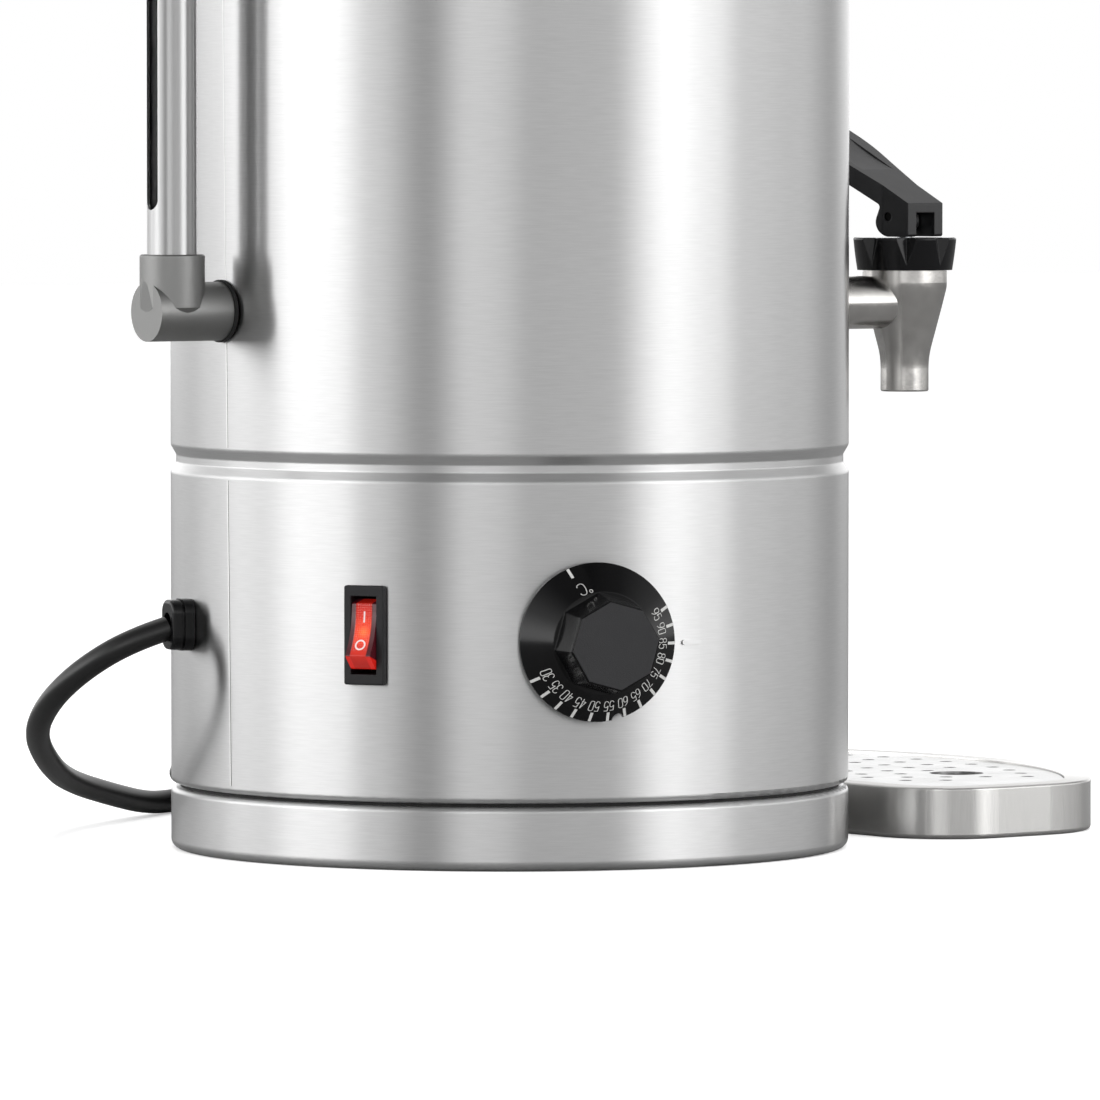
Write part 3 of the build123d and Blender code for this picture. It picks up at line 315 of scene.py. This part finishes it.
def brushed_steel(name, hex_colour, roughness, stretch, anisotropy=0.98, spun=False):
    """Stainless steel with brushed lines; stretch is how fast the lines change along each axis."""
    finish, tree, shader, place = new_finish(name)
    settings_of(shader, Metallic=1.0, Anisotropic=anisotropy, Anisotropic_Rotation=QUARTER_TURN)
    place = polar_place(tree, place) if spun else place
    scaled = add(tree, "Mapping", {"Vector": place,
                                   "Scale": tuple(s * 1000 / LINE_MM for s in stretch)})
    lines = add(tree, "TexNoise", {"Vector": scaled.outputs["Vector"], "Scale": 1.0,
                                   "Detail": 2.0, "Roughness": 0.5})
    cloud = add(tree, "TexNoise", {"Vector": place, "Scale": CLOUDS_PER_METRE, "Detail": 2.0})
    mixed = add(tree, "Math", {0: lines.outputs[0], 1: LINE_SHARE, 2: cloud.outputs[0]},
                operation="MULTIPLY_ADD")
    rough = add(tree, "MapRange", {"Value": mixed.outputs["Value"], "From Min": 0.5,
                                   "From Max": 1.25, "To Min": roughness - ROUGHNESS_SPREAD,
                                   "To Max": roughness + ROUGHNESS_SPREAD})
    base = linear(hex_colour)[:3]
    dark = tuple(c * (1 - LINE_CONTRAST) for c in base) + (1,)
    light = tuple(min(1, c * (1 + LINE_CONTRAST)) for c in base) + (1,)
    spread = add(tree, "MapRange", {"Value": lines.outputs[0], "From Min": 0.3, "From Max": 0.7})
    tint = mix_colours(tree, spread.outputs["Result"], dark, light)
    tangent = add(tree, "Tangent", direction_type="RADIAL", axis="Z")
    for socket, source in (("Base Color", tint),
                           ("Roughness", rough.outputs["Result"]),
                           ("Tangent", tangent.outputs["Tangent"])):
        tree.links.new(source, shader.inputs[socket])
    return finish


ROUND = (0.05, 0.05, 1.0)
UPRIGHT = (1.0, 1.0, 0.05)
dress(brushed_steel("brushed_stainless_ring", "#D0D0D0", 0.28, ROUND), "base_ring")
shell_steel = brushed_steel("brushed_stainless_shell", "#CECECE", 0.28, ROUND)
dress(shell_steel, "outer_shell")


def mesh_piece(name, vertices, faces, finish, body):
    """A mesh piece from points in metres, riding on a body."""
    mesh = bpy.data.meshes.new(name)
    mesh.from_pydata(vertices, [], faces)
    mesh.materials.append(finish)
    made = bpy.data.objects.new(name, mesh)
    bpy.context.collection.objects.link(made)
    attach(made, body)


def strip_faces(rows, across):
    """Quads over a grid of rows of points."""
    return [(r * across + i, r * across + i + 1, (r + 1) * across + i + 1, (r + 1) * across + i)
            for r in range(rows - 1) for i in range(across - 1)]


VARIATION = 0.06


def plain_finish(name, hex_colour, roughness, grain_mm=1.0, height_mm=0.02, metallic=0.0,
                 edge_mm=0.0, **values):
    """An even finish with a fine surface grain; edge_mm softens its sharp edges in the light."""
    finish, tree, shader, place = new_finish(name)
    settings_of(shader, Metallic=metallic, **values)
    cloud = add(tree, "TexNoise", {"Vector": place, "Scale": 60.0, "Detail": 3.0})
    base = linear(hex_colour)[:3]
    tint = mix_colours(tree, cloud.outputs[0], tuple(c * (1 - VARIATION) for c in base) + (1,),
                       tuple(min(1, c * (1 + VARIATION)) for c in base) + (1,))
    rough = add(tree, "MapRange", {"Value": cloud.outputs[0], "From Min": 0.3, "From Max": 0.7,
                                   "To Min": roughness - 0.03, "To Max": roughness + 0.03})
    tree.links.new(tint, shader.inputs["Base Color"])
    tree.links.new(rough.outputs["Result"], shader.inputs["Roughness"])
    relief = fine_bump(tree, place, grain_mm, height_mm)
    if edge_mm:
        relief = add(tree, "Bevel", {"Radius": edge_mm / 1000, "Normal": relief}).outputs["Normal"]
    tree.links.new(relief, shader.inputs["Normal"])
    return finish


# The shell's weld seam beside the gauge, ground nearly flush and brushed over. It leans a little
# and stops at the groove. Its bead is a lighter steel, a painted highlight for its hair-thin
# bright line, and beside it lies a flat strip of dark steel, painted shade where its undercut is.
SHELL_R = 0.1125
SEAM_FOOT_ANGLE, SEAM_LEAN = 182.5, -7.7
# each profile point's place across the seam, and how far it stands proud of the shell
BEAD = [(-0.0003, -0.00002), (-0.0002, 0.00005), (0.0002, 0.00005), (0.0003, 0.00001)]
# the flat strip of dark steel beside the bead, painted shade in place of the undercut
UNDERCUT_SHADE_STRIP = [(0.0003, 0.00001), (0.0006, 0.00001)]
SEAM_RUNS = [("low", 0.0245, 0.1240), ("high", 0.1346, 0.4240)]
# Lighter steel for the bead as a painted highlight; dark steel for the flat strip as painted
# shade.
bead_highlight_steel = brushed_steel("weld_bead_painted_highlight", "#E6E6E5", 0.28, UPRIGHT)
undercut_shade_steel = plain_finish("weld_undercut_painted_shade", "#6A6866", 0.5, metallic=1.0)
for part, profile, finish in (("seam", BEAD, bead_highlight_steel), ("undercut_shade_strip", UNDERCUT_SHADE_STRIP, undercut_shade_steel)):
    for level, foot, head in SEAM_RUNS:
        points = []
        for z in (foot, head):
            for across, proud in profile:
                angle = radians(SEAM_FOOT_ANGLE + SEAM_LEAN * z) + across / SHELL_R
                points.append(((SHELL_R + proud) * cos(angle), (SHELL_R + proud) * sin(angle), z))
        mesh_piece(f"weld_{part}_{level}", points, strip_faces(2, len(profile)), finish, "urn")


# Pressed and plated pieces of the base: a zinc-plated plate and brackets, black EPDM feet and
# the soft black seal that shows as a thin line between ring and shell.
zinc = plain_finish("zinc_plate", "#A9ABAD", 0.38, 1.5, 0.01, metallic=1.0)
rubber = plain_finish("black_epdm", "#171717", 0.72, 0.6, 0.02)
dress(zinc, "base_plate", "base_screws", "base_brackets", "handle_studs", "lid_screw",
      "thermostat_nut", "thermostat_shaft", "tap_stem")
dress(rubber, "base_seal", "rubber_feet", "gauge_gaskets", "tap_gasket")

# ---------------------------------------------------------------- boiler, lid and handles
# The boiler's floor, skirt and nuts are mill-finish stainless. The lid is spun from the same
# sheet as the shell, so its fine lines run in circles. Knob and handles are satin black nylon.
mill = brushed_steel("mill_stainless", "#BDBCBA", 0.36, ROUND, anisotropy=0.3)
dress(mill, "boiler_floor", "lid_skirt", "gauge_nuts", "tap_nut")
dress(brushed_steel("spun_stainless_lid", "#D2D1CF", 0.30, ROUND, spun=True), "lid")
nylon = plain_finish("satin_black_nylon", "#101011", 0.42, 0.5, 0.02, IOR=1.53)
dress(nylon, "lid_knob", "handle_front", "handle_rear")
dress(plain_finish("cast_aluminium", "#B9BABB", 0.5, 1.2, 0.05, metallic=1.0), "heater_plate")
dress(plain_finish("heat_dulled_steel", "#6E6C68", 0.5, 1.0, 0.02, metallic=1.0),
      "heating_element")
dress(plain_finish("dark_phenolic", "#2A211D", 0.45, 0.8, 0.02), "thermostat_body",
      "overheat_cutout")
dress(plain_finish("drawn_copper", "#C98B6B", 0.35, 0.8, 0.01, metallic=1.0),
      "temperature_bulb")
dress(plain_finish("white_polyamide", "#D9D8D2", 0.5, 0.8, 0.02), "terminal_block")
dress(plain_finish("silicone_wire", "#B9B8B2", 0.55, 0.8, 0.02), "wiring")

# ---------------------------------------------------------------- water gauge
# Two bead-blasted investment castings hold a slotted satin tube with a borosilicate glass in it.
# Blasting leaves the castings an even mid grey with a fine sparkle.
blasted = plain_finish("bead_blasted_steel", "#8F8F8E", 0.46, 0.35, 0.03, metallic=1.0)
dress(blasted, "gauge_elbow_lower", "gauge_elbow_upper")
dress(brushed_steel("satin_tube_steel", "#C6C6C6", 0.30, UPRIGHT), "gauge_guard")
glass, tree, shader, place = new_finish("borosilicate_glass")
settings_of(shader, Base_Color=(1, 1, 1, 1), Roughness=0.03, IOR=1.474,
            Transmission_Weight=1.0)
tree.links.new(fine_bump(tree, place, 6.0, 0.01), shader.inputs["Normal"])
dress(glass, "gauge_glass")

# ---------------------------------------------------------------- tap
# An investment-cast stainless body, tumbled to a soft gloss, with a few pinholes painted as dark
# spots of shade. The bonnet is moulded in glossy black acetal and the lever in a satin grade of
# it, on a steel pin painted near black as the shade of its hole.
tap_steel, tree, shader, place = new_finish("tumbled_cast_steel")
settings_of(shader, Metallic=1.0)
cloud = add(tree, "TexNoise", {"Vector": place, "Scale": 160.0, "Detail": 5.0, "Roughness": 0.6})
tint = ramp_of(add(tree, "ValToRGB", {"Fac": cloud.outputs[0]}),
               [(0.30, "#B9B7B4"), (0.70, "#C9C7C4")], "LINEAR")
# Dark spots of painted shade for the pinholes, on a few Voronoi cells.
pits = add(tree, "TexVoronoi", {"Vector": place, "Scale": 150.0, "Randomness": 1.0})
pit_shade_edge = add(tree, "MapRange", {"Value": pits.outputs["Distance"], "From Min": 0.045,
                              "From Max": 0.075})
lot = add(tree, "SeparateColor", {"Color": pits.outputs["Color"]})
sparse = add(tree, "MapRange", {"Value": lot.outputs["Red"], "From Min": 0.10,
                                "From Max": 0.11})
pit_shade_mask = add(tree, "Math", {0: pit_shade_edge.outputs["Result"], 1: sparse.outputs["Result"]},
           operation="MAXIMUM")
base = mix_colours(tree, pit_shade_mask.outputs["Value"], linear("#3A3633"), tint)
rough = add(tree, "MapRange", {"Value": cloud.outputs[0], "From Min": 0.3, "From Max": 0.7,
                               "To Min": 0.18, "To Max": 0.24})
soft_wave = add(tree, "TexNoise", {"Vector": place, "Scale": 260.0, "Detail": 3.0})
bump = add(tree, "Bump", {"Height": soft_wave.outputs[0], "Distance": 0.00008, "Strength": 0.5})
for socket, source in (("Base Color", base),
                       ("Roughness", rough.outputs["Result"]),
                       ("Normal", bump.outputs["Normal"])):
    tree.links.new(source, shader.inputs[socket])
dress(tap_steel, "tap_body", "tap_outlet")
dress(plain_finish("glossy_black_acetal", "#08080A", 0.16, 0.8, 0.006, edge_mm=0.4,
                   Specular_IOR_Level=0.3), "tap_bonnet")
dress(plain_finish("satin_black_acetal", "#131315", 0.36, 0.4, 0.012, edge_mm=0.5), "tap_lever")
# The pin is painted near black as the shade of the hole it sits in.
dress(plain_finish("pin_steel_painted_shade", "#1B1B1B", 0.35, 0.5, 0.01, metallic=1.0), "lever_pin")
dress(plain_finish("moulded_silicone", "#C9C7C0", 0.6, 0.8, 0.02), "tap_seat_cup")
dress(plain_finish("drawn_spring_wire", "#9C9B99", 0.3, 0.5, 0.01, metallic=1.0), "tap_spring")

# ---------------------------------------------------------------- thermostat knob
# A glossy black phenolic dial with white printed degrees on its cone, and an eight-sided grip
# whose top is a matt dark grey plate. The numbers stand with their tops outwards.
KNOB_ANGLE = -110.0
DIAL_HEIGHT = 0.07405
RIM_R, RIM_OUT = 0.0256, 0.1181
CONE_TOP_R, CONE_TOP_OUT = 0.0166, 0.1265
PRINT_PROUD = 0.00006
PRINT_INSET = 0.0001
knob_out = Vector((cos(radians(KNOB_ANGLE)), sin(radians(KNOB_ANGLE)), 0))
knob_side = Vector((-knob_out.y, knob_out.x, 0))
cone_slope = (CONE_TOP_OUT - RIM_OUT) / (RIM_R - CONE_TOP_R)
slope_share = cos(atan2(cone_slope, 1))


def on_dial(angle, radius, proud=PRINT_PROUD):
    """A point on the dial's cone; angles count anticlockwise from its right, seen from outside."""
    out = RIM_OUT + (RIM_R - radius) * cone_slope + proud
    a = radians(angle)
    return (knob_out * out + knob_side * (radius * cos(a))
            + Vector((0, 0, DIAL_HEIGHT + radius * sin(a))))


DEGREES_PER_MARK = 13.6
MARK_85_AT = -1.2
MARKS = {number: (number - 85) / 5 * DEGREES_PER_MARK + MARK_85_AT for number in range(30, 100, 5)}
CELSIUS_AT = 113.0
TICK_LONG, TICK_WIDE, TICK_ROWS = 0.0040, 0.00095, 4
print_white = plain_finish("white_dial_print", "#C4C4C2", 0.5, 0.5, 0.005)
points, faces = [], []
for mark in [*MARKS.values(), CELSIUS_AT]:
    first = len(points)
    for row in range(TICK_ROWS):
        radius = RIM_R - PRINT_INSET - row / (TICK_ROWS - 1) * TICK_LONG * slope_share
        half = TICK_WIDE / 2 / radius * 180 / pi
        points += [on_dial(mark - half, radius), on_dial(mark + half, radius)]
    faces += [tuple(first + i for i in face) for face in strip_faces(TICK_ROWS, 2)]
mesh_piece("dial_ticks", points, faces, print_white, "dial")

# each digit's strokes in a box one unit wide and high; a point given twice makes a corner
DIGITS = {
    "0": [([(0, 0), (1, 0), (1, 0.35), (1, 0.65), (1, 1), (0, 1), (0, 0.65), (0, 0.35)], True)],
    "3": [([(0, 0.8), (0.1, 1), (1, 1), (1, 0.53), (0.4, 0.52), (1, 0.5), (1, 0), (0.1, 0),
            (0, 0.2)], False)],
    "4": [([(0.72, 0), (0.72, 0.5), (0.72, 1), (0.72, 1), (0, 0.28), (0, 0.28), (0.5, 0.28),
            (1, 0.28)], False)],
    "5": [([(0.92, 1), (0.12, 1), (0.12, 1), (0.04, 0.5), (0.04, 0.5), (0.4, 0.66), (1, 0.6),
            (1, 0), (0.15, 0), (0, 0.18)], False)],
    "6": [([(0.85, 1), (0.3, 0.85), (0, 0.5), (0, 0), (1, 0), (1, 0.6), (0.15, 0.6),
            (0.03, 0.35)], False)],
    "7": [([(0, 1), (1, 1), (1, 1), (0.45, 0.5), (0.35, 0)], False)],
    "8": [([(0.1, 0.54), (0.9, 0.54), (0.96, 1), (0.04, 1)], True),
          ([(0, 0), (1, 0), (1, 0.55), (0, 0.55)], True)],
    "9": [([(0.15, 0), (0.7, 0.15), (1, 0.5), (1, 1), (0, 1), (0, 0.4), (0.85, 0.4),
            (0.97, 0.65)], False)],
    "C": [([(1, 0.78), (0.95, 1), (0, 1), (0, 0), (0.95, 0), (1, 0.22)], False)],
    "degree": [([(0, 0), (1, 0), (1, 1), (0, 1)], True)],
}
DIGIT_HIGH, DIGIT_WIDE, DIGIT_GAP = 0.0044, 0.00125, 0.00045
STROKE_R, STROKE_SUNK = 0.00016, 0.55


def print_strokes(name, letters, at, foot_r, wide=DIGIT_WIDE, high=DIGIT_HIGH, flip=False):
    """Letters printed on the dial round an angle, tops outwards, or inwards if flipped."""
    curve = bpy.data.curves.new(name, "CURVE")
    curve.dimensions = "3D"
    curve.bevel_depth, curve.bevel_resolution, curve.resolution_u = STROKE_R, 2, 6
    curve.use_fill_caps = True
    span = len(letters) * wide + (len(letters) - 1) * DIGIT_GAP
    for place_in_line, letter in enumerate(letters):
        for stroke, closed in DIGITS[letter]:
            line = curve.splines.new("NURBS")
            line.points.add(len(stroke) - 1)
            for point, (across, up) in zip(line.points, stroke):
                side = place_in_line * (wide + DIGIT_GAP) + across * wide - span / 2
                rise = up * high * slope_share
                radius = foot_r + (high * slope_share - rise if flip else rise)
                turn = (side if flip else -side) / foot_r * 180 / pi
                point.co = (*on_dial(at + turn, radius, -STROKE_R * STROKE_SUNK), 1)
            line.order_u = 3
            line.use_cyclic_u = closed
            line.use_endpoint_u = not closed
    made = bpy.data.objects.new(name, curve)
    curve.materials.append(print_white)
    bpy.context.collection.objects.link(made)
    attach(made, "dial")


NUMBER_FOOT_R, CELSIUS_FOOT_R = 0.0187, 0.0168
for number, mark in MARKS.items():
    print_strokes(f"dial_number_{number}", str(number), mark, NUMBER_FOOT_R)
print_strokes("dial_celsius", "C", CELSIUS_AT - 1.8, CELSIUS_FOOT_R, 0.0021, 0.0047, flip=True)
print_strokes("dial_degree", ["degree"], CELSIUS_AT - 9.5, CELSIUS_FOOT_R, 0.0009, 0.0012,
              flip=True)

dress(plain_finish("glossy_black_phenolic", "#050506", 0.16, 1.4, 0.006, edge_mm=0.5,
                   Specular_IOR_Level=0.3), "knob")
dress(plain_finish("matt_dark_grey_plate", "#242426", 0.62, 0.3, 0.06, edge_mm=0.3), "knob_cap")

# ---------------------------------------------------------------- rocker switch
# A red polycarbonate rocker in a matt nylon bezel. Its middle panel is painted with a glow, orange
# at the middle falling to red, and emits that painted light weakly; its smooth side borders are
# painted near-black red as shade, and its lower lip plain red. Its panel is dimpled.
dress(plain_finish("matt_black_bezel", "#18181A", 0.5, 0.3, 0.02, edge_mm=0.4,
                   Specular_IOR_Level=0.35), "switch_bezel")
SWITCH_ANGLE, SWITCH_HEIGHT, PIVOT_R, ROCKER_TILT = -147.95, 0.0757, 0.1105, 17.0
switch_out = Vector((cos(radians(SWITCH_ANGLE)), sin(radians(SWITCH_ANGLE)), 0))
rocker_side = Vector((-switch_out.y, switch_out.x, 0))
tilt = radians(ROCKER_TILT)
rocker_out = switch_out * cos(tilt) + Vector((0, 0, sin(tilt)))
rocker_up = Vector((0, 0, cos(tilt))) - switch_out * sin(tilt)
rocker_pivot = switch_out * PIVOT_R + Vector((0, 0, SWITCH_HEIGHT))
FACE_SLOPE, FACE_FILLET, FACE_DIP = 0.2614, 0.024, 0.0042


def on_rocker(side, up, proud=0.00003):
    """A point on the rocker's hollow face, from its middle."""
    flat = FACE_FILLET * sin(atan2(FACE_SLOPE, 1))
    if abs(up) < flat:
        out = FACE_DIP + FACE_FILLET / cos(atan2(FACE_SLOPE, 1)) - (FACE_FILLET ** 2
                                                                     - up ** 2) ** 0.5
    else:
        out = FACE_DIP + abs(up) * FACE_SLOPE
    return rocker_pivot + rocker_out * (out + proud) + rocker_up * up + rocker_side * side


def along(tree, place, origin, direction):
    """How far a place lies from an origin in one direction, as a value socket."""
    moved = add(tree, "VectorMath", {0: place, 1: tuple(origin)}, operation="SUBTRACT")
    return add(tree, "VectorMath", {0: moved.outputs["Vector"], 1: tuple(direction)},
               operation="DOT_PRODUCT").outputs["Value"]


lens, tree, shader, place = new_finish("red_polycarbonate_painted_glow")
PAINTED_GLOW_AT, PAINTED_GLOW_R = on_rocker(0.0004, -0.0004), 0.011
PANEL_HALF, PANEL_EDGE = 0.0028, 0.0002
LIP_AT, LIP_EDGE = -0.0086, 0.0004
DIMPLE_MM, DIMPLED_FROM = 0.75, -0.007
across = along(tree, place, rocker_pivot, rocker_side)
upward = along(tree, place, rocker_pivot, rocker_up)
painted_glow_gap = add(tree, "VectorMath", {0: place, 1: tuple(PAINTED_GLOW_AT)}, operation="DISTANCE")
painted_glow_fall = add(tree, "MapRange", {"Value": painted_glow_gap.outputs["Value"], "From Min": 0.0,
                              "From Max": PAINTED_GLOW_R})
# painted glow: orange at the middle, falling to red away from it
painted_glow = ramp_of(add(tree, "ValToRGB", {"Fac": painted_glow_fall.outputs["Result"]}),
               [(0.0, "#E8602A"), (0.25, "#CC3416"), (0.55, "#B42210"), (1.0, "#94160E")])
edge = add(tree, "Math", {0: across}, operation="ABSOLUTE")
panel = add(tree, "MapRange", {"Value": edge.outputs["Value"],
                               "From Min": PANEL_HALF - PANEL_EDGE,
                               "From Max": PANEL_HALF + PANEL_EDGE, "To Min": 1.0, "To Max": 0.0})
tip = add(tree, "MapRange", {"Value": upward, "From Min": LIP_AT, "From Max": LIP_AT - LIP_EDGE})
# the side borders are painted near-black red as shade; only the lower lip keeps a plain red
border_shade_and_lip = mix_colours(tree, tip.outputs["Result"], linear("#3C0A12"), linear("#B01A12"))
painted_glow_face = mix_colours(tree, panel.outputs["Result"], border_shade_and_lip, painted_glow)
grid_place = add(tree, "CombineXYZ", {"X": across, "Y": upward})
dimpled = add(tree, "Math", {0: upward, 1: DIMPLED_FROM}, operation="GREATER_THAN")
dimples = add(tree, "TexVoronoi", {"Vector": grid_place.outputs["Vector"],
                                   "Scale": 1000 / DIMPLE_MM, "Randomness": 0.15})
dents = add(tree, "Math", {0: dimples.outputs["Distance"], 1: panel.outputs["Result"]},
            operation="MULTIPLY")
dents = add(tree, "Math", {0: dents.outputs["Value"], 1: dimpled.outputs["Value"]},
            operation="MULTIPLY")
bump = add(tree, "Bump", {"Height": dents.outputs["Value"], "Distance": 0.0003,
                          "Strength": 1.0})
# the painted glow colour also drives a weak emission, so the rocker glows with painted light
settings_of(shader, Roughness=0.18, IOR=1.58, Emission_Strength=0.5)
for socket, source in (("Base Color", painted_glow_face), ("Emission Color", painted_glow_face),
                       ("Normal", bump.outputs["Normal"])):
    tree.links.new(source, shader.inputs[socket])
dress(lens, "switch_rocker")

# The marks are hot-stamped in white: an upright stroke for on and a ring for off.
switch_print = plain_finish("white_hot_stamp", "#F3DAD8", 0.45, 0.5, 0.005)
ON_AT, ON_ASIDE, ON_LONG, STAMP_WIDE, ON_ROWS = 0.0045, 0.0002, 0.0035, 0.00055, 7
points = [on_rocker(side * STAMP_WIDE / 2 + ON_ASIDE, ON_AT + (i / (ON_ROWS - 1) - 0.5) * ON_LONG)
          for i in range(ON_ROWS) for side in (-1, 1)]
mesh_piece("rocker_on_mark", points, strip_faces(ON_ROWS, 2), switch_print, "rocker")
OFF_AT, OFF_R, RING_STEPS = -0.0048, 0.00183, 40
points = [on_rocker(r * cos(2 * pi * i / RING_STEPS), OFF_AT + r * sin(2 * pi * i / RING_STEPS))
          for i in range(RING_STEPS + 1) for r in (OFF_R, OFF_R - STAMP_WIDE)]
mesh_piece("rocker_off_mark", points, strip_faces(RING_STEPS + 1, 2), switch_print, "rocker")

# ---------------------------------------------------------------- gland and plug
# The cable gland is glossy black nylon. The moulded plug is soft black PVC with a fine matt
# grain, and its pins are nickel-plated brass.
dress(plain_finish("glossy_black_nylon", "#060607", 0.22, 0.8, 0.008, edge_mm=0.5,
                   Specular_IOR_Level=0.3), "gland_body", "gland_cap", "gland_nut")
dress(plain_finish("moulded_plug_pvc", "#191919", 0.5, 0.35, 0.02), "plug")
dress(plain_finish("nickel_plate", "#C9C5BC", 0.22, 1.0, 0.005, metallic=1.0), "plug_pins")

# ---------------------------------------------------------------- drip tray
# A folded and welded stainless pan, its wall brushed upright, with a lift-out perforated grid
# polished brighter than the rest.
dress(brushed_steel("brushed_stainless_tray", "#D2D1CF", 0.22, UPRIGHT), "drip_tray")
dress(plain_finish("polished_stainless_grid", "#CACACA", 0.25, 1.5, 0.01, metallic=1.0),
      "drip_grid")
